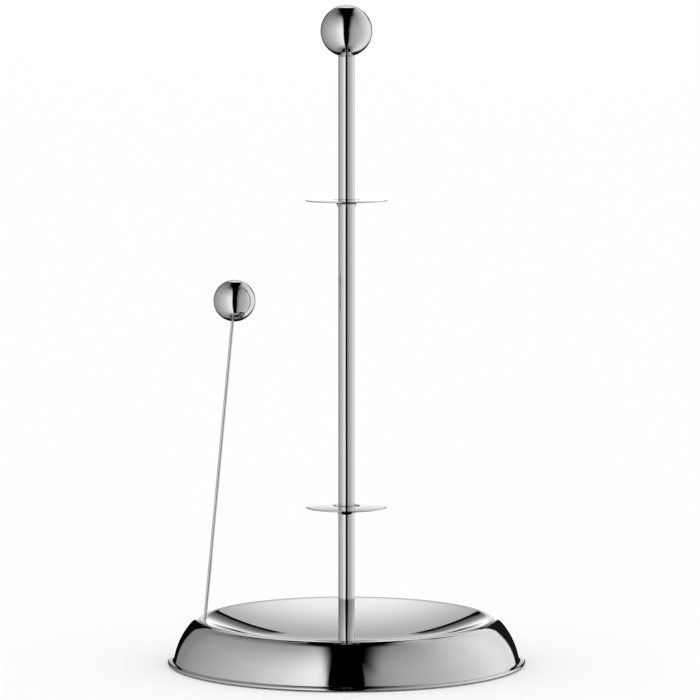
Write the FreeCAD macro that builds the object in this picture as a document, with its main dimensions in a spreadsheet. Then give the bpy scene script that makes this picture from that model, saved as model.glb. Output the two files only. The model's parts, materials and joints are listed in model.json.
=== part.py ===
import FreeCAD, Part
import os

import Sketcher

# Kitchen roll holder: a weighted round base pressed as a dish, a slim pole with a
# ball on top, two guide discs on the pole, and a springy wire arm with a smaller
# ball that keeps the loose sheet against the roll.
#
# Millimetres, +Z up. The origin is the centre of the face that the holder stands
# on, and the pole runs along +Z. The arm stands on the -X side.

DIMENSIONS = {
    # rubber ring and underside
    "lip_gap": 0.6,
    "ring_inner": 66.0,
    "ring_outer": 80.0,
    "ring_height": 1.2,
    "ring_edge": 0.35,
    "cover_radius": 84.2,
    "cover_thick": 1.0,
    # pressed shell
    "sheet": 0.8,
    "lip_radius": 88.5,
    "lip_height": 1.4,
    "hem_width": 1.6,
    "fillet_radius": 1.0,
    "skirt_bulge": 36.2,
    "shoulder_angle": 49.0,
    "crest_radius": 71.3,
    "crest_height": 22.6,
    "crest_round": 7.8,
    "dish_floor": 9.8,
    "dish_flat": 8.0,
    "bolt_clearance": 2.25,
    # ballast
    "ballast_radius": 76.0,
    "ballast_top": 7.0,
    "ballast_edge": 1.0,
    "boss_radius": 9.0,
    "recess_radius": 7.5,
    "web_thick": 1.5,
    # cover screws
    "screw_circle": 45.0,
    "screw_count": 3,
    "screw_thread": 1.45,
    "screw_hole": 1.5,
    "screw_depth": 4.2,
    "screw_length": 4.6,
    "screw_head": 2.6,
    "screw_head_gap": 0.08,
    "screw_socket": 1.1,
    # centre bolt
    "bolt_thread": 1.95,
    "tapped_hole": 2.0,
    "bolt_reach": 11.0,
    "bolt_head": 3.5,
    "bolt_head_thick": 2.6,
    "bolt_socket": 1.44,
    "bolt_socket_depth": 1.5,
    "washer_outer": 4.5,
    "washer_inner": 2.15,
    "washer_thick": 0.8,
    # pole
    "pole_radius": 4.0,
    "pole_wall": 1.0,
    "pole_top": 299.75,
    "pole_chamfer": 0.35,
    "plug_gap": 0.01,
    "plug_length": 14.0,
    "stud_length": 17.0,
    "stud_in_pole": 10.0,
    # top ball
    "ball_radius": 12.7,
    "ball_centre": 311.9,
    "stud_bore": 8.2,
    # guide discs and their collars
    "disc_radius": 20.0,
    "disc_thick": 0.6,
    "disc_drop": 0.35,
    "dimple_radius": 6.9,
    "dimple_seat": 5.4,
    "seat_drop": 1.3,
    "lower_disc": 78.35,
    "upper_disc": 229.7,
    "collar_top": 4.95,
    "collar_foot": 4.2,
    "collar_length": 2.75,
    "collar_gap": 0.01,
    "grip_width": 0.6,
    "grip_height": 1.0,
    # spring arm
    "wire_radius": 0.8,
    "wire_hole": 1.1,
    "arm_foot": 69.9,
    "arm_foot_height": 22.07,
    "arm_lean": 5.4,
    "arm_length": 158.4,
    "arm_gap": 1.1,
    "arm_bend": 5.0,
    "eye_radius": 3.2,
    "arm_ball_radius": 10.35,
    "arm_bore_gap": 0.01,
}

# Expressions worked out from the driving dimensions. In the shell's section the
# dish, crest and skirt are arcs that meet tangent to each other, and the angles
# are those of the outward normal from +Z.
DISH_ANGLE = "(2 * atan((dims.crest_height - dims.dish_floor) / (dims.crest_radius - dims.dish_flat)))"
DISH_BOWL = f"((dims.crest_radius - dims.dish_flat) / sin({DISH_ANGLE}) - dims.crest_round)"
SHOULDER = "(dims.shoulder_angle * 1deg)"
FLANGE_TOP = "(dims.lip_gap + dims.lip_height)"
CREST_Z = "(dims.crest_height - dims.crest_round)"
SKIRT_X = f"(dims.crest_radius + (dims.crest_round - dims.skirt_bulge) * sin({SHOULDER}))"
SKIRT_Z = f"({CREST_Z} + (dims.crest_round - dims.skirt_bulge) * cos({SHOULDER}))"
FOOT_ANGLE = (
    f"acos(({FLANGE_TOP} + dims.fillet_radius - {SKIRT_Z}) / (dims.skirt_bulge + dims.fillet_radius))"
)
FILLET_X = f"({SKIRT_X} + (dims.skirt_bulge + dims.fillet_radius) * sin({FOOT_ANGLE}))"

COVER_TOP = "(dims.ring_height + dims.cover_thick)"
WIRE_Z = "(dims.dish_floor - dims.sheet - dims.wire_radius)"
BOSS_TOP = "(dims.dish_floor - dims.sheet - 2 * dims.wire_radius)"
WEB_UNDER = f"({BOSS_TOP} - dims.web_thick)"
BOLT_SEAT = f"({WEB_UNDER} - dims.washer_thick)"
POLE_BORE = "(dims.pole_radius - dims.pole_wall)"
LEAN = "(dims.arm_lean * 1deg)"

LEFT = 1
RIGHT = -1

doc = FreeCAD.newDocument("kitchen_roll_holder")
sheet = doc.addObject("Spreadsheet::Sheet", "dims")
parts = []


def fill_sheet():
    for row, (alias, number) in enumerate(DIMENSIONS.items(), start=1):
        sheet.set(f"A{row}", alias)
        sheet.set(f"B{row}", str(number))
        sheet.setAlias(f"B{row}", alias)
    doc.recompute()


def value(expression):
    result = sheet.evalExpression(expression)
    return float(getattr(result, "Value", result))


def bind(target, **expressions):
    for prop, expression in expressions.items():
        target.setExpression(prop.replace("__", "."), expression)


def keep(piece, label):
    piece.Label = label
    parts.append(piece)
    return piece


def new_body(label):
    return keep(doc.addObject("PartDesign::Body", label), label)


def new_sketch(body, name, role):
    sketch = body.newObject("Sketcher::SketchObject", name)
    plane = next(f for f in body.Origin.OriginFeatures if f.Role == role)
    sketch.AttachmentSupport = [(plane, "")]
    sketch.MapMode = "FlatFace"
    return sketch


def arc_edge(start, end, radius, turn):
    """The arc from start to end that turns left (1) or right (-1), under half a turn."""
    chord = end - start
    middle = (start + end) * 0.5
    rise = max(radius**2 - (chord.Length / 2) ** 2, 0.0) ** 0.5
    side = FreeCAD.Vector(-chord.y, chord.x, 0).normalize()
    centre = middle + side * (rise * turn)
    up = FreeCAD.Vector(0, 0, 1)
    first, last = (start, end) if turn == LEFT else (end, start)
    circle = Part.Circle(centre, up, radius)
    return Part.ArcOfCircle(circle, circle.parameter(first), circle.parameter(last))


def fix_point(sketch, geometry, point, name, x, y):
    """Hold one sketch point at the place that two expressions give."""
    for kind, axis, expression in (("DistanceX", -2, x), ("DistanceY", -1, y)):
        if expression == "0":
            sketch.addConstraint(Sketcher.Constraint("PointOnObject", geometry, point, axis))
            continue
        constraint = Sketcher.Constraint(kind, -1, 1, geometry, point, value(expression))
        index = sketch.addConstraint(constraint)
        label = f"{name}_{kind[-1].lower()}"
        sketch.renameConstraint(index, label)
        sketch.setExpression(f"Constraints.{label}", expression)


def draw_outline(sketch, outline):
    """Draw a closed outline. Each entry is (x, y) for a straight edge to the next
    point, or (x, y, radius, turn) for an arc to it."""
    points = [FreeCAD.Vector(value(p[0]), value(p[1]), 0) for p in outline]
    ends = []
    for number, entry in enumerate(outline):
        start = points[number]
        end = points[(number + 1) % len(points)]
        if len(entry) == 2:
            geometry = sketch.addGeometry(Part.LineSegment(start, end), False)
            ends.append((geometry, 1, 2))
            continue
        turn = entry[3]
        geometry = sketch.addGeometry(arc_edge(start, end, value(entry[2]), turn), False)
        ends.append((geometry, 1, 2) if turn == LEFT else (geometry, 2, 1))
    for number, entry in enumerate(outline):
        geometry, first, last = ends[number]
        following = ends[(number + 1) % len(ends)]
        sketch.addConstraint(Sketcher.Constraint("Coincident", geometry, last, following[0], following[1]))
        fix_point(sketch, geometry, first, f"point_{number}", entry[0], entry[1])
        if len(entry) == 4:
            radius = Sketcher.Constraint("Radius", geometry, value(entry[2]))
            index = sketch.addConstraint(radius)
            sketch.renameConstraint(index, f"round_{number}")
            sketch.setExpression(f"Constraints.round_{number}", entry[2])


def turned(label, outline):
    """A body turned about Z from its half section, given as (radius, height) points."""
    body = new_body(label)
    sketch = new_sketch(body, f"{label}_section", "XZ_Plane")
    draw_outline(sketch, outline)
    doc.recompute()
    turn = body.newObject("PartDesign::Revolution", f"{label}_turn")
    turn.Profile = sketch
    turn.ReferenceAxis = (sketch, ["V_Axis"])
    turn.Angle = 360
    sketch.Visibility = False
    doc.recompute()
    return body


def ring(label, inner, outer, low, high):
    """A plain turned ring with a square section."""
    return turned(label, [(inner, low), (outer, low), (outer, high), (inner, high)])


def drill_up(body, name, x, radius, length=None):
    """Cut a round hole upwards from the base plane, at x on the X axis."""
    sketch = new_sketch(body, f"{name}_circle", "XY_Plane")
    circle = Part.Circle(FreeCAD.Vector(value(x), 0, 0), FreeCAD.Vector(0, 0, 1), value(radius))
    geometry = sketch.addGeometry(circle, False)
    sketch.addConstraint(Sketcher.Constraint("PointOnObject", geometry, 3, -1))
    place = sketch.addConstraint(Sketcher.Constraint("DistanceX", -1, 1, geometry, 3, value(x)))
    sketch.renameConstraint(place, "place_x")
    sketch.setExpression("Constraints.place_x", x)
    size = sketch.addConstraint(Sketcher.Constraint("Radius", geometry, value(radius)))
    sketch.renameConstraint(size, "hole_radius")
    sketch.setExpression("Constraints.hole_radius", radius)
    doc.recompute()
    before = body.Shape.Volume
    pocket = body.newObject("PartDesign::Pocket", name)
    pocket.Profile = sketch
    pocket.Reversed = True
    if length is None:
        pocket.Type = "ThroughAll"
    else:
        pocket.Type = "Length"
        bind(pocket, Length=length)
    sketch.Visibility = False
    doc.recompute()
    if body.Shape.Volume >= before:
        raise RuntimeError(f"{name} cuts nothing")
    return pocket


def around(body, feature, count):
    """Repeat a cut around Z."""
    before = body.Shape.Volume
    pattern = body.newObject("PartDesign::PolarPattern", f"{feature.Name}_around")
    pattern.Originals = [feature]
    axis = next(f for f in body.Origin.OriginFeatures if f.Role == "Z_Axis")
    pattern.Axis = (axis, [""])
    pattern.Angle = 360
    bind(pattern, Occurrences=count)
    body.Tip = pattern
    doc.recompute()
    if body.Shape.Volume >= before:
        raise RuntimeError(f"{feature.Name} is not repeated")


def lean_at(piece, x, z, angle):
    """Place a piece in the plane of the arm, turned about +Y by an angle."""
    turn = FreeCAD.Rotation(FreeCAD.Vector(0, 1, 0), value(angle))
    piece.Placement = FreeCAD.Placement(FreeCAD.Vector(value(x), 0, value(z)), turn)
    bind(piece, Placement__Base__x=x, Placement__Base__z=z, Placement__Rotation__Angle=angle)


def cylinder(name, radius, height):
    rod = doc.addObject("Part::Cylinder", name)
    bind(rod, Radius=radius, Height=height)
    return rod


def fused(name, shapes):
    fuse = doc.addObject("Part::MultiFuse", name)
    fuse.Shapes = shapes
    return fuse


def cut(name, base, tool):
    result = doc.addObject("Part::Cut", name)
    result.Base = base
    result.Tool = tool
    return result


def at_height(piece, height):
    bind(piece, Placement__Base__z=height)
    return piece


# ---- base -------------------------------------------------------------------


def make_base_shell():
    """Pressed sheet: dish, rounded crest, bulging skirt and a hemmed lip."""

    def crest(angle, radius):
        x = f"dims.crest_radius + {radius} * sin({angle})"
        return x, f"{CREST_Z} + {radius} * cos({angle})"

    def skirt(angle, radius):
        return f"{SKIRT_X} + {radius} * sin({angle})", f"{SKIRT_Z} + {radius} * cos({angle})"

    inner_crest = "(dims.crest_round - dims.sheet)"
    inner_skirt = "(dims.skirt_bulge - dims.sheet)"
    dish_side = f"(0deg - {DISH_ANGLE})"
    hem = "dims.lip_radius - dims.hem_width"
    edge = "dims.lip_radius - dims.lip_height / 2"
    floor_under = "dims.dish_floor - dims.sheet"
    outline = [
        ("dims.bolt_clearance", floor_under),
        ("dims.dish_flat", floor_under, f"{DISH_BOWL} + dims.sheet", LEFT),
        (*crest(dish_side, inner_crest), inner_crest, RIGHT),
        (*crest(SHOULDER, inner_crest), inner_skirt, RIGHT),
        (*skirt(FOOT_ANGLE, inner_skirt), "dims.fillet_radius + dims.sheet", LEFT),
        (FILLET_X, f"{FLANGE_TOP} - dims.sheet"),
        (hem, f"{FLANGE_TOP} - dims.sheet"),
        (hem, "dims.lip_gap"),
        (edge, "dims.lip_gap", "dims.lip_height * 0.51", LEFT),
        (edge, FLANGE_TOP),
        (FILLET_X, FLANGE_TOP, "dims.fillet_radius", RIGHT),
        (*skirt(FOOT_ANGLE, "dims.skirt_bulge"), "dims.skirt_bulge", LEFT),
        (*crest(SHOULDER, "dims.crest_round"), "dims.crest_round", LEFT),
        (*crest(dish_side, "dims.crest_round"), DISH_BOWL, RIGHT),
        ("dims.dish_flat", "dims.dish_floor"),
        ("dims.bolt_clearance", "dims.dish_floor"),
    ]
    shell = turned("base_shell", outline)
    drill_up(shell, "arm_hole", "dims.arm_foot", "dims.wire_hole")
    shell.Placement = FreeCAD.Placement(FreeCAD.Vector(), FreeCAD.Rotation(FreeCAD.Vector(0, 0, 1), 180))


def make_ballast():
    """Heavy disc under the dish. A thin web in its recess takes the centre bolt."""
    flat = "dims.ballast_radius - dims.ballast_edge"
    ballast = turned(
        "ballast_weight",
        [
            ("dims.recess_radius", COVER_TOP),
            (flat, COVER_TOP),
            ("dims.ballast_radius", f"{COVER_TOP} + dims.ballast_edge"),
            ("dims.ballast_radius", "dims.ballast_top - dims.ballast_edge"),
            (flat, "dims.ballast_top"),
            ("dims.boss_radius", "dims.ballast_top"),
            ("dims.boss_radius", BOSS_TOP),
            ("dims.bolt_clearance", BOSS_TOP),
            ("dims.bolt_clearance", WEB_UNDER),
            ("dims.recess_radius", WEB_UNDER),
        ],
    )
    hole = drill_up(
        ballast, "screw_hole", "dims.screw_circle", "dims.screw_hole", f"{COVER_TOP} + dims.screw_depth"
    )
    around(ballast, hole, "dims.screw_count")


def screw_places():
    """The turn of each cover screw about Z, in degrees."""
    count = int(value("dims.screw_count"))
    return [360 * number / count for number in range(count)]


def place_on_circle(piece, turn, height):
    angle = f"{turn:g} * 1deg"
    bind(
        piece,
        Placement__Base__x=f"dims.screw_circle * cos({angle})",
        Placement__Base__y=f"dims.screw_circle * sin({angle})",
        Placement__Base__z=height,
    )


def make_cover_and_screws():
    """Round cover plate with three countersunk screws into the ballast."""
    plate = at_height(cylinder("cover_plate", "dims.cover_radius", "dims.cover_thick"), "dims.ring_height")
    sinks = []
    screws = []
    for number, turn in enumerate(screw_places()):
        sink = doc.addObject("Part::Cone", f"countersink_{number}")
        bind(sink, Radius1="dims.screw_head", Radius2="dims.screw_hole", Height="dims.cover_thick")
        place_on_circle(sink, turn, "dims.ring_height")
        sinks.append(sink)

        head = doc.addObject("Part::Cone", f"screw_head_{number}")
        bind(
            head,
            Radius1="dims.screw_head - dims.screw_head_gap",
            Radius2="dims.screw_hole - dims.screw_head_gap",
            Height="dims.cover_thick",
        )
        place_on_circle(head, turn, "dims.ring_height")
        shank = cylinder(f"screw_shank_{number}", "dims.screw_thread", "dims.screw_length")
        place_on_circle(shank, turn, "dims.ring_height")
        socket = doc.addObject("Part::Prism", f"screw_socket_{number}")
        socket.Polygon = 6
        bind(socket, Circumradius="dims.screw_socket", Height="dims.cover_thick * 0.8")
        place_on_circle(socket, turn, "dims.ring_height")
        blank = fused(f"screw_blank_{number}", [head, shank])
        screws.append(cut(f"screw_{number}", blank, socket))
    keep(cut("base_cover", plate, fused("countersinks", sinks)), "base_cover")
    group = doc.addObject("Part::Compound", "cover_screws")
    group.Links = screws
    keep(group, "cover_screws")


def make_foot_ring():
    """Rubber ring glued to the cover, proud of the steel lip."""
    turned(
        "foot_ring",
        [
            ("dims.ring_inner + dims.ring_edge", "0"),
            ("dims.ring_outer - dims.ring_edge", "0"),
            ("dims.ring_outer", "dims.ring_edge"),
            ("dims.ring_outer", "dims.ring_height"),
            ("dims.ring_inner", "dims.ring_height"),
            ("dims.ring_inner", "dims.ring_edge"),
        ],
    )


def make_centre_bolt():
    """Low-headed socket bolt that pulls ballast, arm eye, dish and pole together."""
    ring("centre_washer", "dims.washer_inner", "dims.washer_outer", BOLT_SEAT, WEB_UNDER)
    shank = at_height(
        cylinder("bolt_shank", "dims.bolt_thread", f"dims.dish_floor + dims.bolt_reach - {BOLT_SEAT}"),
        BOLT_SEAT,
    )
    head_low = f"{BOLT_SEAT} - dims.bolt_head_thick"
    head = at_height(cylinder("bolt_head", "dims.bolt_head", "dims.bolt_head_thick"), head_low)
    socket = doc.addObject("Part::Prism", "bolt_socket")
    socket.Polygon = 6
    bind(socket, Circumradius="dims.bolt_socket", Height="dims.bolt_socket_depth")
    at_height(socket, head_low)
    keep(cut("centre_bolt", fused("bolt_blank", [head, shank]), socket), "centre_bolt")


# ---- pole -------------------------------------------------------------------


def make_pole():
    """Polished tube that stands on the dish, with a threaded plug in each end."""
    chamfer = "dims.pole_radius - dims.pole_chamfer"
    turned(
        "pole_tube",
        [
            (POLE_BORE, "dims.dish_floor"),
            ("dims.pole_radius", "dims.dish_floor"),
            ("dims.pole_radius", "dims.pole_top - dims.pole_chamfer"),
            (chamfer, "dims.pole_top"),
            (POLE_BORE, "dims.pole_top"),
        ],
    )
    plug = f"{POLE_BORE} - dims.plug_gap"
    ring("pole_foot_plug", "dims.tapped_hole", plug, "dims.dish_floor", "dims.dish_floor + dims.plug_length")
    ring("pole_top_plug", "dims.tapped_hole", plug, "dims.pole_top - dims.plug_length", "dims.pole_top")


def make_top_ball():
    """Ball with a flat seat on the pole's end, held by a threaded stud."""
    seat = "sqrt(dims.ball_radius^2 - (dims.ball_centre - dims.pole_top)^2)"
    bore_end = "dims.pole_top + dims.stud_bore"
    turned(
        "top_ball",
        [
            ("dims.tapped_hole", "dims.pole_top"),
            (seat, "dims.pole_top", "dims.ball_radius", LEFT),
            ("0", "dims.ball_centre + dims.ball_radius"),
            ("0", bore_end),
            ("dims.tapped_hole", bore_end),
        ],
    )
    stud = cylinder("ball_stud", "dims.bolt_thread", "dims.stud_length")
    keep(at_height(stud, "dims.pole_top - dims.stud_in_pole"), "ball_stud")


def make_disc(label, height):
    """Thin sheet that falls a little towards its rim. Its middle is dimpled down onto the
    collar."""
    edge = "dims.disc_radius - dims.disc_thick / 2"
    seat = f"{height} - dims.seat_drop"
    rim = f"{height} - dims.disc_drop"
    turned(
        label,
        [
            ("dims.pole_radius + dims.collar_gap", seat),
            ("dims.dimple_seat", seat),
            ("dims.dimple_radius", f"{height} - dims.disc_thick"),
            (edge, f"{rim} - dims.disc_thick", "dims.disc_thick * 0.51", LEFT),
            (edge, rim),
            ("dims.dimple_radius", height),
            ("dims.dimple_seat", f"{seat} + dims.disc_thick"),
            ("dims.pole_radius + dims.collar_gap", f"{seat} + dims.disc_thick"),
        ],
    )


def make_collar(label, height):
    """Tapered collar pressed on the pole, wide end up, that carries one disc on its neck.
    Its shoulder, below the neck, leaves room for a grip ring."""
    top = f"{height} - dims.seat_drop"
    shoulder = f"{top} - dims.grip_height"
    neck = "dims.collar_top - dims.grip_width - dims.collar_gap"
    turned(
        label,
        [
            ("dims.pole_radius + dims.collar_gap", f"{top} - dims.collar_length"),
            ("dims.collar_foot", f"{top} - dims.collar_length", "dims.collar_length * 3", RIGHT),
            ("dims.collar_top", shoulder),
            (neck, shoulder),
            (neck, top),
            ("dims.pole_radius + dims.collar_gap", top),
        ],
    )


def make_grip_ring(label, height):
    """Rubber ring round the collar's neck, between its shoulder and the disc."""
    top = f"{height} - dims.seat_drop"
    ring(label, "dims.collar_top - dims.grip_width", "dims.collar_top", f"{top} - dims.grip_height", top)


# ---- spring arm ---------------------------------------------------------------


def make_arm_root():
    """The arm's wire inside the base: a stub under its hole, one bend, a straight
    run under the dish, and an eye round the centre bolt."""
    stub_x = f"(0 - dims.arm_foot - dims.arm_gap * sin({LEAN}))"
    stub_z = f"(dims.arm_foot_height - dims.arm_gap * cos({LEAN}))"
    bend_z = f"({WIRE_Z} + dims.arm_bend)"
    stub_length = f"(({stub_z} - {bend_z} - dims.arm_bend * sin({LEAN})) / cos({LEAN}))"
    bend_x = f"({stub_x} - {stub_length} * sin({LEAN}) + dims.arm_bend * cos({LEAN}))"

    stub = cylinder("root_stub", "dims.wire_radius", stub_length)
    lean_at(stub, stub_x, stub_z, f"180deg + {LEAN}")

    bend = doc.addObject("Part::Torus", "root_bend")
    bind(bend, Radius1="dims.arm_bend", Radius2="dims.wire_radius", Angle3=f"90deg + {LEAN}")
    upright = FreeCAD.Rotation(FreeCAD.Vector(1, 0, 0), 90)
    swing = FreeCAD.Rotation(FreeCAD.Vector(0, 1, 0), -180 + value(LEAN))
    bend.Placement = FreeCAD.Placement(
        FreeCAD.Vector(value(bend_x), 0, value(bend_z)), swing.multiply(upright)
    )
    bind(bend, Placement__Base__x=bend_x, Placement__Base__z=bend_z)

    run = cylinder("root_run", "dims.wire_radius", f"0 - {bend_x} - dims.eye_radius")
    lean_at(run, bend_x, WIRE_Z, "90deg")

    eye = doc.addObject("Part::Torus", "root_eye")
    bind(eye, Radius1="dims.eye_radius", Radius2="dims.wire_radius")
    at_height(eye, WIRE_Z)
    keep(fused("arm_wire_root", [stub, bend, run, eye]), "arm_wire_root")


def make_arm():
    """The free length of the wire, and the ball pressed onto its end."""
    foot_x = "0 - dims.arm_foot"
    wire = cylinder("arm_rod", "dims.wire_radius", "dims.arm_length")
    lean_at(wire, foot_x, "dims.arm_foot_height", LEAN)
    end = doc.addObject("Part::Sphere", "arm_rod_end")
    bind(end, Radius="dims.wire_radius", Placement__Base__x=foot_x)
    at_height(end, "dims.arm_foot_height")
    keep(fused("arm_wire", [wire, end]), "arm_wire")

    bore = "dims.wire_radius + dims.arm_bore_gap"
    mouth = f"dims.arm_ball_radius - sqrt(dims.arm_ball_radius^2 - ({bore})^2)"
    ball = turned(
        "arm_ball",
        [
            (bore, mouth, "dims.arm_ball_radius", LEFT),
            ("0", "2 * dims.arm_ball_radius"),
            ("0", "dims.arm_ball_radius + dims.arm_bore_gap"),
            (bore, "dims.arm_ball_radius + dims.arm_bore_gap"),
        ],
    )
    reach = "(dims.arm_length - dims.arm_ball_radius)"
    ball_x = f"{foot_x} + {reach} * sin({LEAN})"
    lean_at(ball, ball_x, f"dims.arm_foot_height + {reach} * cos({LEAN})", LEAN)


def check_and_write():
    doc.recompute()
    for item in doc.Objects:
        if "Invalid" in item.State or "Error" in item.State:
            raise RuntimeError(f"{item.Label} failed: {item.State}")
    for piece in parts:
        if piece.Shape.isNull() or not piece.Shape.isValid():
            raise RuntimeError(f"{piece.Label} has no valid shape")
    os.makedirs("parts", exist_ok=True)
    for piece in parts:
        piece.Shape.exportStep(f"parts/{piece.Label}.step")
        print(f"{piece.Label:16s} {len(piece.Shape.Solids)} solid(s) {piece.Shape.Volume:10.1f} mm3")


fill_sheet()
make_base_shell()
make_ballast()
make_cover_and_screws()
make_foot_ring()
make_centre_bolt()
make_pole()
make_top_ball()
for place in ("lower", "upper"):
    make_collar(f"{place}_collar", f"dims.{place}_disc")
    make_grip_ring(f"{place}_grip_ring", f"dims.{place}_disc")
    make_disc(f"{place}_disc", f"dims.{place}_disc")
make_arm_root()
make_arm()
check_and_write()
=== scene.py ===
"""Looks of a kitchen roll holder: polished steel base, pole, balls and guide discs, black rings
that make the dark band under each disc, a spring wire arm, and a black underside with a rubber ring.

The polished pieces are turned from their half sections, finely enough for clean reflections,
and stand for the plain ones of the frame. Metres, +Z up, and the arm stands on the -X side.
"""
import json
import math
from types import SimpleNamespace

import bmesh
import bpy
from mathutils import Matrix, Vector


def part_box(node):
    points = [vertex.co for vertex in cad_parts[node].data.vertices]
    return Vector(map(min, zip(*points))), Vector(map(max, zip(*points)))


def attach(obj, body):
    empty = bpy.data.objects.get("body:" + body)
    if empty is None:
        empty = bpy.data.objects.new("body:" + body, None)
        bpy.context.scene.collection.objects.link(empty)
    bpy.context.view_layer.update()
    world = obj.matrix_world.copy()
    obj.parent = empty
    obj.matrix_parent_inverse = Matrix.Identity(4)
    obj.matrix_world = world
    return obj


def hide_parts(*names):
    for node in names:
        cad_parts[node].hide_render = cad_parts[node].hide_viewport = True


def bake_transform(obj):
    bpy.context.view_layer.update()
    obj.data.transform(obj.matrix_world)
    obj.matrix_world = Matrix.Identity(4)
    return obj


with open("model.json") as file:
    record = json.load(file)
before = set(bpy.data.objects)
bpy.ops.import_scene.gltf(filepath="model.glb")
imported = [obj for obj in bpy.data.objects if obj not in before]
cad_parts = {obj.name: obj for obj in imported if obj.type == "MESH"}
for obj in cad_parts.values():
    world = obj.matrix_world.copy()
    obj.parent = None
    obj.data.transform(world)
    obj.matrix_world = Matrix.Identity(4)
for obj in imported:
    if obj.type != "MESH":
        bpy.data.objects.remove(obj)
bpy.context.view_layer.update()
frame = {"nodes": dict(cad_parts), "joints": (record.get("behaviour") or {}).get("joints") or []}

MM = 0.001
AXIS_POINT = 1e-7
CREASE = math.radians(28)

# Pressed shell
SHEET = 0.8 * MM
LIP_GAP = 0.6 * MM
LIP_HEIGHT = 1.4 * MM
LIP_EDGE = 0.714 * MM
LIP_RADIUS = 88.5 * MM
HEM_WIDTH = 1.6 * MM
FILLET = 1.0 * MM
SKIRT_BULGE = 36.2 * MM
SHOULDER_ANGLE = math.radians(49.0)
CREST_RADIUS = 71.3 * MM
CREST_ROUND = 7.8 * MM
DISH_FLAT = 8.0 * MM
DISH_HOLE = 2.25 * MM
WIRE_HOLE = 1.1 * MM
DRILL_REACH = 6 * MM

# Pole, discs, collars and grip rings
POLE_WALL = 1.0 * MM
POLE_CHAMFER = 0.35 * MM
STUD_HOLE = 2.0 * MM
STUD_BORE = 8.2 * MM
DISC_SHEET = 0.6 * MM
DISC_EDGE = 0.306 * MM
DISC_DROP = 0.35 * MM
BRIM_PARTS = 12
DIMPLE_RADIUS = 6.9 * MM
DIMPLE_SEAT = 5.4 * MM
DIMPLE_ROUND = 0.7 * MM
SEAT_DROP = 1.3 * MM
COLLAR_TOP = 4.95 * MM
COLLAR_FOOT = 4.2 * MM
COLLAR_SWEEP = 8.25 * MM
GRIP_WIDTH = 0.6 * MM
GRIP_CORNER = 0.2 * MM
PIECE_GAP = 0.01 * MM

# Spring wire
WIRE_RADIUS = 0.8 * MM
WIRE_STEP = 2.0 * MM
STUB_GAP = 1.1 * MM

arm_foot = Vector(frame["joints"][0]["pos_m"])
arm_ball_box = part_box("arm_ball")
arm_ball_centre = (arm_ball_box[0] + arm_ball_box[1]) / 2
arm_heading = (arm_ball_centre - arm_foot).normalized()


# ---- form ---------------------------------------------------------------------


def arc(centre, radius, start, end, step):
    """Points (radius, height) round a centre, a step apart or less. Angles are degrees from +Z
    towards outwards."""
    count = max(2, math.ceil(abs(end - start) / step))
    turns = [math.radians(start + (end - start) * i / count) for i in range(count + 1)]
    return [(centre[0] + radius * math.sin(a), centre[1] + radius * math.cos(a)) for a in turns]


def eased(corners, radius, parts=6):
    """An open run of straight edges with each inner corner rounded."""
    points = [Vector(c) for c in corners]
    run = [tuple(points[0])]
    for before, corner, after in zip(points, points[1:], points[2:]):
        back = (before - corner).normalized()
        ahead = (after - corner).normalized()
        half = back.angle(ahead) / 2
        reach = radius / math.tan(half)
        middle = corner + (back + ahead).normalized() * (radius / math.sin(half))
        first = corner + back * reach - middle
        last = corner + ahead * reach - middle
        for i in range(parts + 1):
            spoke = first.lerp(last, i / parts).normalized()
            run.append(tuple(middle + spoke * radius))
    return run + [tuple(points[-1])]


def turned(name, outline, steps):
    """A piece turned about +Z from its closed half section of (radius, height) points."""
    shape = bmesh.new()
    turns = [2 * math.pi * i / steps for i in range(steps)]
    circle = [(math.cos(a), math.sin(a)) for a in turns]
    rings = []
    for radius, height in outline:
        if radius < AXIS_POINT:
            rings.append([shape.verts.new((0, 0, height))] * steps)
        else:
            rings.append([shape.verts.new((radius * x, radius * y, height)) for x, y in circle])
    for low, high in zip(rings, rings[1:] + rings[:1]):
        for i in range(steps):
            j = (i + 1) % steps
            corners = list(dict.fromkeys((low[i], low[j], high[j], high[i])))
            if len(corners) > 2:
                shape.faces.new(corners)
    return finished(name, shape)


def finished(name, shape):
    """A smooth piece with creases where its surface turns sharply."""
    bmesh.ops.recalc_face_normals(shape, faces=shape.faces)
    mesh = bpy.data.meshes.new(name)
    shape.to_mesh(mesh)
    shape.free()
    mesh.shade_smooth()
    mesh.set_sharp_from_angle(angle=CREASE)
    piece = bpy.data.objects.new(name, mesh)
    bpy.context.scene.collection.objects.link(piece)
    return piece


def drawn(name, path, radius, sides):
    """A round wire that follows a path of points, with closed ends."""
    shape = bmesh.new()
    rings = []
    heading = (path[1] - path[0]).normalized()
    side = heading.orthogonal().normalized()
    turns = [2 * math.pi * i / sides for i in range(sides)]
    for number, point in enumerate(path):
        ahead = path[min(number + 1, len(path) - 1)] - path[max(number - 1, 0)]
        turn = heading.rotation_difference(ahead)
        heading = ahead.normalized()
        side = turn @ side
        other = heading.cross(side)
        spokes = [(side * math.cos(a) + other * math.sin(a)) * radius for a in turns]
        rings.append([shape.verts.new(point + spoke) for spoke in spokes])
    for low, high in zip(rings, rings[1:]):
        for i in range(sides):
            j = (i + 1) % sides
            shape.faces.new((low[i], low[j], high[j], high[i]))
    shape.faces.new(rings[0])
    shape.faces.new(rings[-1])
    return finished(name, shape)


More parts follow.
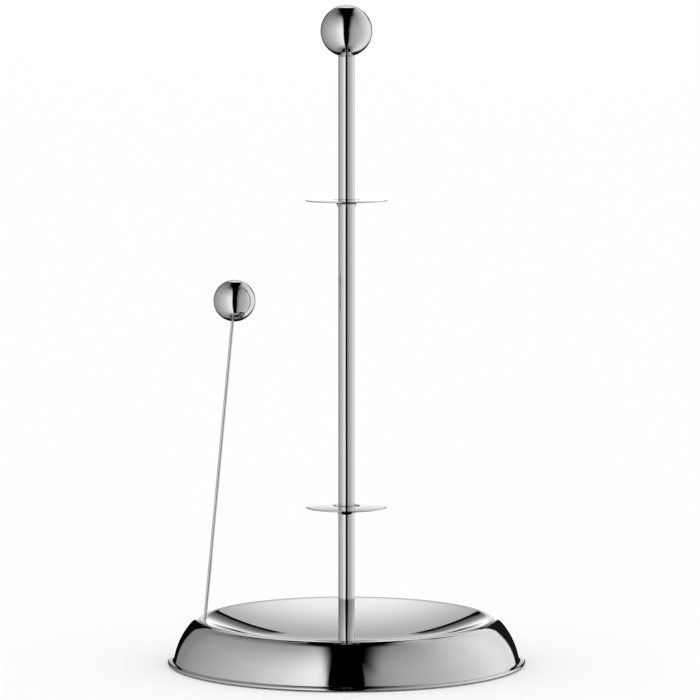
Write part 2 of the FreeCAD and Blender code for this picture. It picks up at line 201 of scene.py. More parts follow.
def cut_through(piece, place, direction, radius):
    """Drill a round hole right through a piece."""
    reach = direction.normalized() * DRILL_REACH
    drill = drawn("drill", [place - reach, place, place + reach], radius, sides=64)
    modifier = piece.modifiers.new("hole", "BOOLEAN")
    modifier.object = drill
    modifier.operation = "DIFFERENCE"
    modifier.solver = "EXACT"
    depsgraph = bpy.context.evaluated_depsgraph_get()
    mesh = bpy.data.meshes.new_from_object(piece.evaluated_get(depsgraph))
    mesh.name = piece.name
    piece.modifiers.clear()
    piece.data = mesh
    bpy.data.objects.remove(drill)
    mesh.set_sharp_from_angle(angle=CREASE)


# ---- node building ------------------------------------------------------------


def wire_up(tree, kind, inputs=(), **settings):
    """Add a node, set its options and its inputs. An input that is a socket gets a link."""
    node = tree.nodes.new(kind)
    for key, setting in settings.items():
        setattr(node, key, setting)
    for key, entry in dict(inputs).items():
        if isinstance(entry, bpy.types.NodeSocket):
            tree.links.new(entry, node.inputs[key])
        else:
            node.inputs[key].default_value = entry
    return node


def calc(tree, operation, *terms):
    """A Math node's result."""
    return wire_up(tree, "ShaderNodeMath", dict(enumerate(terms)), operation=operation).outputs[0]


def spread(tree, entry, low, high, new_low=0.0, new_high=1.0, smooth=False):
    """Map a value from one range onto another, held at the ends."""
    terms = {0: entry, 1: low, 2: high, 3: new_low, 4: new_high}
    kind = "SMOOTHSTEP" if smooth else "LINEAR"
    return wire_up(tree, "ShaderNodeMapRange", terms, interpolation_type=kind).outputs[0]


def between(tree, mask, first, last):
    """A number that moves from first to last with a mask."""
    terms = {0: mask, 2: first, 3: last}
    return wire_up(tree, "ShaderNodeMix", terms, data_type="FLOAT").outputs[0]


def tinted(tree, mask, dark, pale):
    """A colour that moves from dark to pale with a mask."""
    terms = {0: mask, 6: (*dark, 1), 7: (*pale, 1)}
    return wire_up(tree, "ShaderNodeMix", terms, data_type="RGBA").outputs[2]


def cloudy(tree, place, scale, detail, distortion=0.0):
    """Noise between 0 and 1. Its scale is in clouds to the metre."""
    terms = {"Vector": place, "Scale": scale, "Detail": detail, "Distortion": distortion}
    return wire_up(tree, "ShaderNodeTexNoise", terms).outputs[0]


def ramp(tree, entry, stops):
    """A grey ramp through (position, tone) stops."""
    node = wire_up(tree, "ShaderNodeValToRGB", {"Fac": entry})
    elements = node.color_ramp.elements
    while len(elements) < len(stops):
        elements.new(0.5)
    for element, (position, tone) in zip(elements, stops):
        element.position = position
        element.color = (tone, tone, tone, 1)
    return node.outputs["Color"]


def new_group(name, inputs, outputs):
    """An empty shader node group with named number inputs and outputs."""
    group = bpy.data.node_groups.new(name, "ShaderNodeTree")
    for label, default in inputs.items():
        socket = group.interface.new_socket(label, in_out="INPUT", socket_type="NodeSocketFloat")
        socket.default_value = default
    for label in outputs:
        group.interface.new_socket(label, in_out="OUTPUT", socket_type="NodeSocketFloat")
    source = group.nodes.new("NodeGroupInput")
    result = group.nodes.new("NodeGroupOutput")
    return group, source.outputs, result.inputs


def use_group(tree, group, **inputs):
    """Place a group with its own values. A blank in an input's name is written as _ here."""
    node = wire_up(tree, "ShaderNodeGroup", node_tree=group)
    for label, entry in inputs.items():
        node.inputs[label.replace("_", " ")].default_value = entry
    return node.outputs


def new_material(name):
    """A material with only an output and a Principled shader."""
    material = bpy.data.materials.new(name)
    material.use_nodes = True
    tree = material.node_tree
    tree.nodes.clear()
    surface = tree.nodes.new("ShaderNodeBsdfPrincipled")
    output = tree.nodes.new("ShaderNodeOutputMaterial")
    tree.links.new(surface.outputs[0], output.inputs["Surface"])
    return material, tree, surface


# ---- effects shared by several finishes ---------------------------------------


def make_polish_haze():
    """Cloudy traces of polishing and wiping, broad and fine together."""
    inputs = {"Cloud Scale": 40.0, "Wipe Scale": 260.0}
    group, source, result = new_group("polish_haze", inputs, ["Mask"])
    place = wire_up(group, "ShaderNodeTexCoord").outputs["Object"]
    broad = cloudy(group, place, source["Cloud Scale"], detail=3.0)
    fine = cloudy(group, place, source["Wipe Scale"], detail=5.0, distortion=1.2)
    both = between(group, mask=0.35, first=broad, last=fine)
    group.links.new(spread(group, both, low=0.36, high=0.64, smooth=True), result["Mask"])
    return group


def make_turning_lines():
    """Fine lines that run round the pole's axis, as a lathe or a polishing wheel leaves them."""
    inputs = {"Line Scale": 6000.0, "Waver": 0.02}
    group, source, result = new_group("turning_lines", inputs, ["Mask", "Height"])
    place = wire_up(group, "ShaderNodeTexCoord").outputs["Object"]
    x, y, z = wire_up(group, "ShaderNodeSeparateXYZ", {0: place}).outputs
    flat = wire_up(group, "ShaderNodeCombineXYZ", {0: x, 1: y}).outputs[0]
    away = wire_up(group, "ShaderNodeVectorMath", {0: flat}, operation="LENGTH").outputs["Value"]
    section = wire_up(group, "ShaderNodeCombineXYZ", {0: away, 2: z}).outputs[0]
    shift = {0: place, "Scale": source["Waver"]}
    drift = wire_up(group, "ShaderNodeVectorMath", shift, operation="SCALE").outputs[0]
    track = wire_up(group, "ShaderNodeVectorMath", {0: section, 1: drift}, operation="ADD").outputs[0]
    grooves = cloudy(group, track, source["Line Scale"], detail=2.0)
    group.links.new(grooves, result["Height"])
    group.links.new(spread(group, grooves, low=0.35, high=0.65), result["Mask"])
    return group


def make_grain():
    """A pebbled surface with paler and darker patches, for castings, powder coat and rubber."""
    inputs = {"Grain Scale": 1500.0, "Patch Scale": 60.0}
    group, source, result = new_group("grain", inputs, ["Height", "Patches"])
    place = wire_up(group, "ShaderNodeTexCoord").outputs["Object"]
    pebbles = cloudy(group, place, source["Grain Scale"], detail=4.0)
    patches = cloudy(group, place, source["Patch Scale"], detail=6.0)
    group.links.new(pebbles, result["Height"])
    group.links.new(spread(group, patches, low=0.3, high=0.7, smooth=True), result["Patches"])
    return group


haze = make_polish_haze()
lines = make_turning_lines()
grain = make_grain()


# ---- finishes -----------------------------------------------------------------


def relief(tree, surface, height, strength, depth):
    """Raise the surface a little by a height value. Depth is in metres."""
    terms = {"Height": height, "Strength": strength, "Distance": depth}
    bump = wire_up(tree, "ShaderNodeBump", terms)
    tree.links.new(bump.outputs[0], surface.inputs["Normal"])


def colour_and_gloss(tree, surface, mask, dark, pale, rough, sleek):
    """Colour and roughness between a rough, dark state and a sleek, pale one."""
    tree.links.new(tinted(tree, mask, dark, pale), surface.inputs["Base Color"])
    tree.links.new(spread(tree, mask, 0.0, 1.0, rough, sleek), surface.inputs["Roughness"])


def polished(name, dark, pale, hazy, smooth, line_scale, line_depth):
    """Mirror polish: barely clouded, with the faintest lines of the polishing wheel."""
    material, tree, surface = new_material(name)
    surface.inputs["Metallic"].default_value = 1.0
    mask = use_group(tree, haze, Cloud_Scale=34.0, Wipe_Scale=240.0)["Mask"]
    colour_and_gloss(tree, surface, mask, dark, pale, hazy, smooth)
    wheel = use_group(tree, lines, Line_Scale=line_scale, Waver=0.05)
    relief(tree, surface, wheel["Height"], strength=0.15, depth=line_depth)
    return material


def machined(name, dark, pale, rough, smooth):
    """Turned and left as machined, for bolt, washer, plugs, stud and screws."""
    material, tree, surface = new_material(name)
    surface.inputs["Metallic"].default_value = 1.0
    turning = use_group(tree, lines, Line_Scale=9000.0, Waver=0.04)
    colour_and_gloss(tree, surface, turning["Mask"], dark, pale, rough, smooth)
    relief(tree, surface, turning["Height"], strength=0.5, depth=0.02 * MM)
    return material


def grained(name, dark, pale, rough, sleek, grain_scale, depth, metallic=0.0):
    """A matt finish with a pebbled surface."""
    material, tree, surface = new_material(name)
    surface.inputs["Metallic"].default_value = metallic
    pebbles = use_group(tree, grain, Grain_Scale=grain_scale, Patch_Scale=55.0)
    colour_and_gloss(tree, surface, pebbles["Patches"], dark, pale, rough, sleek)
    relief(tree, surface, pebbles["Height"], strength=0.6, depth=depth)
    return material


POLISHED_STEEL = polished(
    "polished_steel", dark=(0.635, 0.648, 0.64), pale=(0.655, 0.668, 0.66),
    hazy=0.03, smooth=0.012, line_scale=2600.0, line_depth=0.0001 * MM)
DRAWN_WIRE = polished(
    "spring_wire", dark=(0.60, 0.61, 0.60), pale=(0.66, 0.67, 0.66),
    hazy=0.14, smooth=0.06, line_scale=5000.0, line_depth=0.0004 * MM)
PLAIN_STEEL = machined(
    "plain_steel", dark=(0.40, 0.40, 0.39), pale=(0.58, 0.58, 0.56), rough=0.38, smooth=0.22)
CAST_IRON = grained(
    "cast_iron", dark=(0.030, 0.029, 0.028), pale=(0.060, 0.056, 0.052),
    rough=0.85, sleek=0.62, grain_scale=900.0, depth=0.25 * MM, metallic=0.35)
POWDER_COAT = grained(
    "black_powder_coat", dark=(0.010, 0.010, 0.011), pale=(0.018, 0.018, 0.019),
    rough=0.50, sleek=0.38, grain_scale=1700.0, depth=0.06 * MM)
RUBBER = grained(
    "black_rubber", dark=(0.013, 0.013, 0.013), pale=(0.026, 0.026, 0.025),
    rough=0.92, sleek=0.74, grain_scale=3200.0, depth=0.03 * MM)


def dress(piece, material):
    """Give a piece one material all over."""
    piece.data.materials.clear()
    piece.data.materials.append(material)


def fit(piece, body, material, node):
    """Give a piece its finish and its body, in place of a plain node."""
    dress(piece, material)
    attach(piece, body)
    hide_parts(node)


# ---- base -----------------------------------------------------------------------


def shell_outline(dish_floor, crest_height):
    """Half section of the pressed sheet: dish, crest, skirt, flange and hemmed lip, then its
    underside back to the hole in the middle. It is coarser where it is out of sight."""
    run = CREST_RADIUS - DISH_FLAT
    rise = crest_height - dish_floor
    slope = 2 * math.atan(rise / run)
    bowl = run / math.sin(slope) - CREST_ROUND
    bowl_centre = (DISH_FLAT, dish_floor + bowl)
    crest = (CREST_RADIUS, crest_height - CREST_ROUND)
    inwards = CREST_ROUND - SKIRT_BULGE
    skirt_radius = crest[0] + inwards * math.sin(SHOULDER_ANGLE)
    skirt = (skirt_radius, crest[1] + inwards * math.cos(SHOULDER_ANGLE))
    flange_top = LIP_GAP + LIP_HEIGHT
    foot = math.acos((flange_top + FILLET - skirt[1]) / (SKIRT_BULGE + FILLET))
    fillet = (skirt[0] + (SKIRT_BULGE + FILLET) * math.sin(foot), flange_top + FILLET)
    edge_turn = math.asin(LIP_HEIGHT / 2 / LIP_EDGE)
    edge = LIP_RADIUS - LIP_HEIGHT / 2 - LIP_EDGE * math.cos(edge_turn)
    edge_start = 90 - math.degrees(edge_turn)
    slope, shoulder, foot = (math.degrees(a) for a in (slope, SHOULDER_ANGLE, foot))
    hem = LIP_RADIUS - HEM_WIDTH

    top = [(DISH_HOLE, dish_floor)]
    top += arc(bowl_centre, bowl, 180, 180 - slope, step=0.6)
    top += arc(crest, CREST_ROUND, -slope, shoulder, step=0.9)[1:]
    top += arc(skirt, SKIRT_BULGE, shoulder, foot, step=0.9)[1:]
    top += arc(fillet, FILLET, foot - 180, -180, step=12.0)[1:]
    lip = arc((edge, LIP_GAP + LIP_HEIGHT / 2), LIP_EDGE, edge_start, 180 - edge_start, step=12.0)
    under = [(hem, LIP_GAP), (hem, flange_top - SHEET)]
    under += arc(fillet, FILLET + SHEET, -180, foot - 180, step=20.0)
    under += arc(skirt, SKIRT_BULGE - SHEET, foot, shoulder, step=6.0)[1:]
    under += arc(crest, CREST_ROUND - SHEET, shoulder, -slope, step=10.0)[1:]
    under += arc(bowl_centre, bowl + SHEET, 180 - slope, 180, step=5.0)[1:]
    return top + lip + under + [(DISH_HOLE, dish_floor - SHEET)]


def make_base():
    crest_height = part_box("base_shell")[1].z
    dish_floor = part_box("pole_tube")[0].z
    shell = turned("polished_base", shell_outline(dish_floor, crest_height), steps=480)
    cut_through(shell, arm_foot, Vector((0, 0, 1)), WIRE_HOLE)
    fit(shell, "holder", POLISHED_STEEL, "base_shell")


# ---- pole, balls and discs --------------------------------------------------------


def make_pole():
    """Tube with a chamfered top end."""
    low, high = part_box("pole_tube")
    radius = high.x
    bore = radius - POLE_WALL
    outline = [(bore, low.z), (radius, low.z), (radius, high.z - POLE_CHAMFER)]
    outline += [(radius - POLE_CHAMFER, high.z), (bore, high.z)]
    pole = turned("polished_pole", outline, steps=128)
    fit(pole, "holder", POLISHED_STEEL, "pole_tube")


def make_top_ball():
    """Ball with a flat seat on the pole's end and a blind hole for its stud."""
    low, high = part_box("top_ball")
    radius = high.x
    centre = (0.0, high.z - radius)
    seat = 180 - math.degrees(math.acos((centre[1] - low.z) / radius))
    bore_end = low.z + STUD_BORE
    outline = [(0.0, bore_end), (STUD_HOLE, bore_end), (STUD_HOLE, low.z)]
    outline += arc(centre, radius, seat, 0, step=1.5)
    ball = turned("polished_top_ball", outline, steps=192)
    fit(ball, "holder", POLISHED_STEEL, "top_ball")


def make_arm_ball():
    """Ball on the wire's end, bored from below along the leaning wire."""
    radius = (arm_ball_box[1].y - arm_ball_box[0].y) / 2
    bore = WIRE_RADIUS + PIECE_GAP
    mouth = 180 - math.degrees(math.asin(bore / radius))
    outline = [(0.0, PIECE_GAP), (bore, PIECE_GAP)]
    outline += arc((0.0, 0.0), radius, mouth, 0, step=1.5)
    ball = turned("polished_arm_ball", outline, steps=160)
    lean = Vector((0, 0, 1)).rotation_difference(arm_heading).to_matrix().to_4x4()
    ball.data.transform(Matrix.Translation(arm_ball_centre) @ lean)
    fit(ball, "arm", POLISHED_STEEL, "arm_ball")


def make_disc(node):
    """Thin disc, faintly domed, whose middle is pressed down onto its collar."""
    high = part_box(node)[1]
    outer, top = high.x, high.z
    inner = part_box("pole_tube")[1].x + PIECE_GAP
    edge_half = DISC_SHEET / 2
    lift = math.degrees(math.acos(edge_half / DISC_EDGE))
    seat = top - SEAT_DROP + DISC_SHEET
    width = outer - edge_half - DIMPLE_RADIUS
    shares = [(i + 1) / BRIM_PARTS for i in range(BRIM_PARTS)]
    brim = [(DIMPLE_RADIUS + width * share, top - DISC_DROP * share**2) for share in shares]
    dimple = [(inner, seat), (DIMPLE_SEAT, seat), (DIMPLE_RADIUS, top), brim[0]]
    upper = eased(dimple, DIMPLE_ROUND) + brim[1:]
    lower = [(r, z - DISC_SHEET) for r, z in upper]
    rim_centre = (outer - DISC_EDGE, top - DISC_DROP - edge_half)
    rim = arc(rim_centre, DISC_EDGE, lift, 180 - lift, step=15.0)[1:-1]
    disc = turned("polished_" + node, upper + rim + lower[::-1], steps=256)
    fit(disc, "holder", POLISHED_STEEL, node)


def make_collar(node, ring_node):
    """Tapered collar with a hollow-curved side, wide end up, and a neck for its black ring."""
    low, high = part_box(node)
    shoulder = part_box(ring_node)[0].z
    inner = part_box("pole_tube")[1].x + PIECE_GAP
    neck = COLLAR_TOP - GRIP_WIDTH - PIECE_GAP
    foot = Vector((COLLAR_FOOT, low.z))
    flare = Vector((COLLAR_TOP, shoulder))
    chord = flare - foot
    rise = math.sqrt(COLLAR_SWEEP**2 - (chord.length / 2) ** 2)
    centre = (foot + flare) / 2 + Vector((chord.y, -chord.x)).normalized() * rise
    start, end = (math.degrees(math.atan2(p.x - centre.x, p.y - centre.y)) for p in (foot, flare))
    outline = [(inner, low.z)] + arc(centre, COLLAR_SWEEP, start, end, step=1.0)
    outline += [(neck, shoulder), (neck, high.z), (inner, high.z)]
    collar = turned("polished_" + node, outline, steps=128)
    fit(collar, "holder", POLISHED_STEEL, node)


def make_dark_band_ring(node):
    """Black ring with rounded edges that makes the dark band between a collar's shoulder and its
    disc.
    """
    low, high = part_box(node)
    outer = high.x
    bore = outer - GRIP_WIDTH
    middle = (low.z + high.z) / 2
    corners = [(bore, middle), (bore, low.z), (outer, low.z)]
    corners += [(outer, high.z), (bore, high.z), (bore, middle)]
    ring = turned("black_" + node, eased(corners, GRIP_CORNER)[:-1], steps=128)
    fit(ring, "holder", RUBBER, node)


# ---- spring wire --------------------------------------------------------------------


def make_wire():
    """The wire from its stub under the crest up into the ball."""
    foot = arm_foot - arm_heading * STUB_GAP
    length = (arm_ball_centre - foot).length
    count = round(length / WIRE_STEP)
    path = [foot.lerp(arm_ball_centre, i / count) for i in range(count + 1)]
    wire = drawn("spring_wire", path, WIRE_RADIUS, sides=32)
    dress(wire, DRAWN_WIRE)
    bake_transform(wire)
    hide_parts("arm_wire")


# ---- plain pieces under the dish and inside the pole ----------------------------------


def dress_plain_pieces():
    finishes = {
        "ballast_weight": CAST_IRON,
        "base_cover": POWDER_COAT,
        "foot_ring": RUBBER,
        "cover_screws": PLAIN_STEEL,
        "centre_bolt": PLAIN_STEEL,
        "centre_washer": PLAIN_STEEL,
        "pole_foot_plug": PLAIN_STEEL,
        "pole_top_plug": PLAIN_STEEL,
        "ball_stud": PLAIN_STEEL,
        "arm_wire_root": DRAWN_WIRE,
    }
    for node, material in finishes.items():
        dress(frame["nodes"][node], material)


# ---- studio -----------------------------------------------------------------------------

STEEL_SHARE = 0.65
TONE_POWER = 2.2
BRIGHTEST = 1.6
SOFT_LIGHT = 1.06
FLOOR_DROP = 0.02 * MM

CAMERA_PLACE = (1.76 * MM, -2.117, 0.346)
CAMERA_PITCH = math.radians(-5.144)
CAMERA_LENS = 222.3
SENSOR_WIDTH = 36.0

TENT_RADIUS = 1.05
TENT_CENTRE = 20 * MM

# Tone of the tent's side walls by the angle from the front, as it shows on steel. The +X side
# is positive, and the front is open for the camera.
WALL = [
    (-180, 0.47), (-150, 0.475), (-135, 0.52), (-115, 0.60), (-95, 0.65), (-65, 0.735),
    (-45, 0.81), (-35, 0.865), (-25, 0.905), (-20, 0.92), (-16, 0.88), (-13, 0.79),
    (-12.3, 0.0), (12.0, 0.0), (12.7, 0.36), (15, 0.42), (20, 0.525), (24, 0.57), (35, 0.62),
    (55, 0.66), (65, 0.685), (75, 0.725), (85, 0.765), (95, 0.79), (105, 0.83), (115, 0.855),
    (125, 0.85), (140, 0.82), (160, 0.85), (180, 0.85),
]
# Tone of the walls against the sine of the angle above the horizon
ROOF = [
    (-1.0, 0.0), (-0.95, 0.30), (-0.90, 0.80), (-0.80, 0.93), (-0.70, 0.98), (-0.5, 1.0),
    (0.45, 1.0), (0.616, 0.955), (0.72, 0.91), (0.81, 0.84), (0.883, 0.78), (0.914, 0.70),
    (0.94, 0.58), (0.961, 0.40), (0.978, 0.16), (0.988, 0.0),
]
# Tone of the white card at the back, by the angle above the horizon
CARD = [
    (-30, 0.85), (-5, 1.0), (0, 0.97), (4.5, 0.90), (7.5, 0.84), (10.5, 0.745), (13, 0.67),
    (16.5, 0.635), (19.5, 0.63), (22.5, 0.655), (28.5, 0.70), (34.5, 0.77), (40.5, 0.835),
    (46.5, 0.895), (53, 0.94),
]
# Share of the card's light under its lower corners, by the angle below the corner's edge
SHADOW = [
    (-0.15, 1.0), (0.15, 0.0), (1.8, 0.01), (3.0, 0.25), (4.5, 0.33), (6.5, 0.46), (9.5, 0.8),
    (12.0, 1.0),
]

# From here on, a pair is where something fades in or out, as its first and last angle in
# degrees unless it says otherwise.

# The tent's overhead gap. Its edges are in sideways shares of a direction. They shift from
# ahead to behind over GAP_MIDDLE, which is in backward shares.
GAP_MIDDLE = (-0.1, 0.15)
GAP_LEFT = {"ahead": (-0.27, -0.125), "behind": (-0.25, -0.21)}
GAP_RIGHT = {"ahead": (0.15, 0.38), "behind": (0.20, 0.28)}
GAP_FOOT_AHEAD = (20.0, 45.0)
GAP_FOOT_BEHIND = (50.0, 53.0)
BACK_OPENING = (46.0, 50.0)

# Far walls behind the tent's open back. The slot above the card is in sideways shares.
FAR_WALL_SIDE = (60.0, 65.0)
FAR_WALL_TOP = (53.0, 55.0)
SLOT_SIDE = (0.29, 0.33)

# White card with a bowed top, and the strip that it stands on
SOFT_EDGE = 0.5
CARD_TOP = 54.3
BOW_HALF = 28.0
CARD_HALF = 15.5
CARD_SIDE_SOFT = 0.4
STRIP_HALF = 8.6
STRIP_FLARE = (18.0, 29.0)
STRIP_RIGHT_DROP = 4.0
STRIP_FOOT = (-18.0, -12.0)
SHADOW_EDGE = 15.5
SHADOW_RIGHT_EXTRA = 1.5
SHADOW_SLANT = 0.5
SHADOW_START = 3.6

# Dark flags: half width of the pair, how it changes downwards, and where its ends round off.
# FLAG_EDGE is its soft outline, where 1 is the outline itself.
FLAG_HALF = 27.5
FLAG_RIGHT_EXTRA = 4.0
FLAG_MIDDLE = 10.0
FLAG_WAIST = (-6.0, FLAG_MIDDLE)
FLAG_WAIST_EXTRA = -3.0
FLAG_SKIRT = (-25.0, -8.0)
FLAG_SKIRT_EXTRA = 8.0
FLAG_FOOT = -48.0
FLAG_END = 14.0
FLAG_CORNERS = 3.0
FLAG_EDGE = (0.85, 1.15)
FLAG_LIGHT = 0.01


def light_for(tone):
    """Strength of a surface that shows as this tone on steel, as a share of the brightest."""
    return tone**TONE_POWER / STEEL_SHARE / BRIGHTEST


def product(tree, *terms):
    """All terms multiplied together."""
    result = terms[0]
    for term in terms[1:]:
        result = calc(tree, "MULTIPLY", result, term)
    return result


def reading(tree, towards):
    """A direction's sideways, backward and upward shares, and in degrees its height above the
    horizon, its turn from the front and its turn from the back."""
    side, depth, height = wire_up(tree, "ShaderNodeSeparateXYZ", {0: towards}).outputs
    level = calc(tree, "DEGREES", calc(tree, "ARCSINE", height))
    forward = calc(tree, "MULTIPLY", depth, -1.0)
    front = calc(tree, "DEGREES", calc(tree, "ARCTAN2", side, forward))
    back = calc(tree, "SUBTRACT", 180.0, calc(tree, "ABSOLUTE", front))
    return SimpleNamespace(
        side=side, depth=depth, height=height, level=level, front=front, back=back)


def wall_light(tree, way):
    """Strength of the walls in a direction."""
    wall_stops = [((a + 180) / 360, light_for(t)) for a, t in WALL]
    roof_stops = [((h + 1) / 2, t**TONE_POWER) for h, t in ROOF]
    wall = ramp(tree, spread(tree, way.front, -180.0, 180.0), wall_stops)
    roof = ramp(tree, spread(tree, way.height, -1.0, 1.0), roof_stops)
    return calc(tree, "MULTIPLY", wall, roof)


def gap_edge(tree, way, edge, low, high):
    """One edge of the overhead gap, from low to high towards the +X side."""
    ahead, behind = edge["ahead"], edge["behind"]
    start = spread(tree, way.depth, *GAP_MIDDLE, ahead[0], behind[0])
    end = spread(tree, way.depth, *GAP_MIDDLE, ahead[1], behind[1])
    return spread(tree, way.side, start, end, low, high, smooth=True)


def tent_presence(tree, way):
    """1 where the tent has cloth and 0 where it is open."""
    left = gap_edge(tree, way, GAP_LEFT, 1.0, 0.0)
    right = gap_edge(tree, way, GAP_RIGHT, 0.0, 1.0)
    low_ahead = spread(tree, way.level, *GAP_FOOT_AHEAD, 1.0, 0.0)
    low_behind = spread(tree, way.level, *GAP_FOOT_BEHIND, 1.0, 0.0)
    low = between(tree, calc(tree, "GREATER_THAN", way.depth, 0.0), low_ahead, low_behind)
    cloth = calc(tree, "MAXIMUM", calc(tree, "MAXIMUM", left, right), low)
    opening = product(tree, spread(tree, way.back, *BACK_OPENING, 1.0, 0.0), low_behind)
    return product(tree, cloth, calc(tree, "SUBTRACT", 1.0, opening))


def make_tent():
    """Light tent, seen by steel alone: pale side walls that fade upwards, open at the front,
    overhead and behind."""
    shape = bmesh.new()
    bmesh.ops.create_uvsphere(shape, u_segments=96, v_segments=48, radius=TENT_RADIUS)
    tent = finished("light_tent", shape)
    tent.location.z = TENT_CENTRE
    material = bpy.data.materials.new("tent_cloth")
    material.use_nodes = True
    material.cycles.emission_sampling = "NONE"
    tree = material.node_tree
    tree.nodes.clear()
    place = wire_up(tree, "ShaderNodeTexCoord").outputs["Object"]
    towards = wire_up(tree, "ShaderNodeVectorMath", {0: place}, operation="NORMALIZE").outputs[0]
    way = reading(tree, towards)
    light = {"Color": wall_light(tree, way), "Strength": BRIGHTEST}
    glow = wire_up(tree, "ShaderNodeEmission", light).outputs[0]
    clear = wire_up(tree, "ShaderNodeBsdfTransparent").outputs[0]
    layers = {0: tent_presence(tree, way), 1: clear, 2: glow}
    mixed = wire_up(tree, "ShaderNodeMixShader", layers).outputs[0]
    wire_up(tree, "ShaderNodeOutputMaterial", {"Surface": mixed})
    dress(tent, material)
    tent.visible_camera = False
    tent.visible_diffuse = False
    tent.visible_transmission = False
    tent.visible_shadow = False


def height_over_bow(tree, way):
    """Degrees above the card's bowed top edge."""
    across = calc(tree, "POWER", calc(tree, "DIVIDE", way.back, BOW_HALF), 2.0)
    rest = calc(tree, "MAXIMUM", calc(tree, "SUBTRACT", 1.0, across), 0.0)
    bow_top = calc(tree, "MULTIPLY", calc(tree, "SQRT", rest), CARD_TOP)
    return calc(tree, "SUBTRACT", way.level, bow_top)


def far_walls(tree, way, over_bow):
    """The walls behind the tent's open back, with a dark slot above the card."""
    behind = spread(tree, way.back, *FAR_WALL_SIDE, 1.0, 0.0)
    below_top = spread(tree, way.level, *FAR_WALL_TOP, 1.0, 0.0)
    slot_side = spread(tree, calc(tree, "ABSOLUTE", way.side), *SLOT_SIDE, 1.0, 0.0)
    slot = product(tree, slot_side, spread(tree, over_bow, -SOFT_EDGE, SOFT_EDGE))
    beside_slot = calc(tree, "SUBTRACT", 1.0, slot)
    return product(tree, wall_light(tree, way), behind, below_top, beside_slot)


def flags(tree, way):
    """Light that the pair of dark flags lets past: hardly any on them and all beside them."""
    half = calc(tree, "MULTIPLY_ADD", way.right, FLAG_RIGHT_EXTRA, FLAG_HALF)
    skirt = spread(tree, way.level, *FLAG_SKIRT, FLAG_SKIRT_EXTRA, 0.0)
    waist = spread(tree, way.level, *FLAG_WAIST, FLAG_WAIST_EXTRA, 0.0)
    half = calc(tree, "ADD", half, calc(tree, "ADD", skirt, waist))
    rise = calc(tree, "MAXIMUM", calc(tree, "SUBTRACT", way.level, FLAG_MIDDLE), 0.0)
    drop = calc(tree, "MAXIMUM", calc(tree, "SUBTRACT", FLAG_FOOT, way.level), 0.0)
    past_end = calc(tree, "DIVIDE", calc(tree, "ADD", rise, drop), FLAG_END)
    aside = calc(tree, "POWER", calc(tree, "DIVIDE", way.back, half), FLAG_CORNERS)
    upward = calc(tree, "POWER", past_end, FLAG_CORNERS)
    around = calc(tree, "ADD", aside, upward)
    return spread(tree, around, *FLAG_EDGE, FLAG_LIGHT, 1.0, smooth=True)


def card_mask(tree, way, over_bow):
    """1 on the card and on the strip that it stands on, and 0 beside them."""
    lifted = calc(tree, "MULTIPLY_ADD", way.right, STRIP_RIGHT_DROP, way.level)
    half = spread(tree, lifted, *STRIP_FLARE, STRIP_HALF, CARD_HALF)
    past_side = calc(tree, "SUBTRACT", way.back, half)
    within = spread(tree, past_side, -CARD_SIDE_SOFT, CARD_SIDE_SOFT, 1.0, 0.0)
    below_bow = spread(tree, over_bow, -SOFT_EDGE, SOFT_EDGE, 1.0, 0.0)
    return product(tree, within, below_bow, spread(tree, way.level, *STRIP_FOOT))


def card_light(tree, way):
    """Strength of the card, with a shadow under each of its lower corners."""
    card_stops = [((a + 90) / 180, light_for(t)) for a, t in CARD]
    card = ramp(tree, spread(tree, way.level, -90.0, 90.0), card_stops)
    corner = calc(tree, "MULTIPLY_ADD", way.right, SHADOW_RIGHT_EXTRA, SHADOW_EDGE)
    edge = calc(tree, "MULTIPLY_ADD", way.back, SHADOW_SLANT, corner)
    below = spread(tree, calc(tree, "SUBTRACT", edge, way.level), -10.0, 20.0)
    shadow = ramp(tree, below, [((a + 10) / 30, share) for a, share in SHADOW])
    outer = spread(tree, way.back, SHADOW_START - SOFT_EDGE, SHADOW_START + SOFT_EDGE)
    return product(tree, card, between(tree, outer, 1.0, shadow))


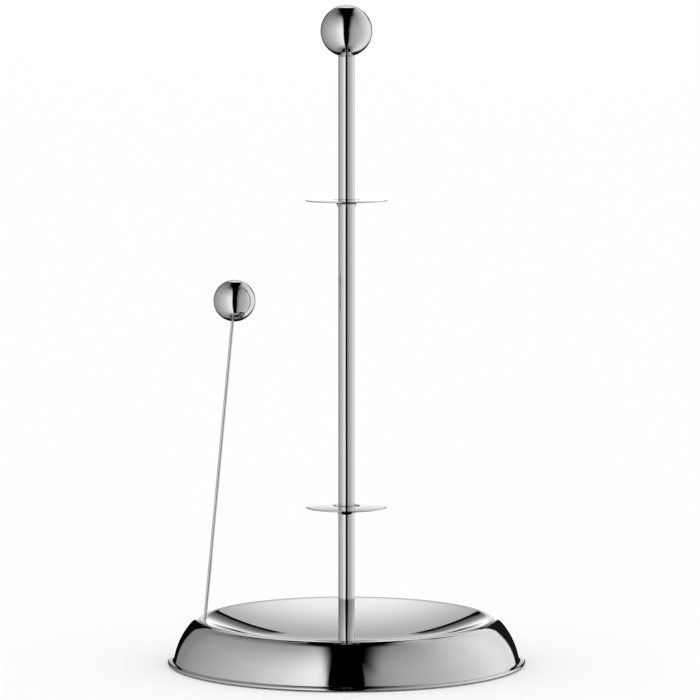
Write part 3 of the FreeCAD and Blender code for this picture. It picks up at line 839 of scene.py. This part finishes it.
def make_backdrop():
    """What steel sees through the tent's open back: far walls, a graded white card that stands
    on a narrow strip, and a dark flag on each side of the strip. Matt surfaces get even, soft
    light instead."""
    world = bpy.data.worlds.new("backdrop")
    world.use_nodes = True
    world.cycles.sampling_method = "NONE"
    bpy.context.scene.world = world
    tree = world.node_tree
    tree.nodes.clear()
    way = reading(tree, wire_up(tree, "ShaderNodeTexCoord").outputs["Generated"])
    way.right = calc(tree, "GREATER_THAN", way.side, 0.0)
    over_bow = height_over_bow(tree, way)
    walls = product(tree, far_walls(tree, way, over_bow), flags(tree, way))
    tones = between(tree, card_mask(tree, way, over_bow), walls, card_light(tree, way))
    sees = wire_up(tree, "ShaderNodeBackground", {"Color": tones, "Strength": BRIGHTEST}).outputs[0]
    white = {"Color": (1, 1, 1, 1), "Strength": SOFT_LIGHT}
    soft = wire_up(tree, "ShaderNodeBackground", white).outputs[0]
    glossy = wire_up(tree, "ShaderNodeLightPath").outputs["Is Glossy Ray"]
    mixed = wire_up(tree, "ShaderNodeMixShader", {0: glossy, 1: soft, 2: sees}).outputs[0]
    wire_up(tree, "ShaderNodeOutputWorld", {"Surface": mixed})


def make_floor():
    """Pale floor. It is open from below, so that the underside can be looked at."""
    shape = bmesh.new()
    bmesh.ops.create_grid(shape, x_segments=8, y_segments=8, size=40.0)
    floor = finished("floor", shape)
    floor.location.z = -FLOOR_DROP
    material, tree, surface = new_material("pale_floor")
    cloud = wire_up(tree, "ShaderNodeTexNoise", {"Scale": 1.5, "Detail": 2.0}).outputs[0]
    colour = tinted(tree, cloud, (0.93, 0.93, 0.93), (0.95, 0.95, 0.95))
    tree.links.new(colour, surface.inputs["Base Color"])
    surface.inputs["Roughness"].default_value = 1.0
    surface.inputs["Specular IOR Level"].default_value = 0.0
    clear = wire_up(tree, "ShaderNodeBsdfTransparent").outputs[0]
    back = wire_up(tree, "ShaderNodeNewGeometry").outputs["Backfacing"]
    seen = wire_up(tree, "ShaderNodeMixShader", {0: back, 1: surface.outputs[0], 2: clear})
    tree.links.new(seen.outputs[0], tree.nodes["Material Output"].inputs["Surface"])
    dress(floor, material)
    floor.visible_glossy = False


def make_camera():
    camera = bpy.data.cameras.new("camera")
    camera.lens = CAMERA_LENS
    camera.sensor_width = SENSOR_WIDTH
    camera.clip_start = 0.1
    camera.clip_end = 100.0
    mount = bpy.data.objects.new("camera", camera)
    mount.location = CAMERA_PLACE
    mount.rotation_euler = (math.pi / 2 + CAMERA_PITCH, 0, 0)
    bpy.context.scene.collection.objects.link(mount)
    bpy.context.scene.camera = mount


make_base()
make_pole()
make_top_ball()
for place in ("lower", "upper"):
    make_disc(place + "_disc")
    make_collar(place + "_collar", place + "_grip_ring")
    # A black ring makes the dark band under each disc.
    make_dark_band_ring(place + "_grip_ring")
make_arm_ball()
make_wire()
dress_plain_pieces()

make_tent()
make_backdrop()
make_floor()
make_camera()
bpy.context.scene.view_settings.view_transform = "Standard"
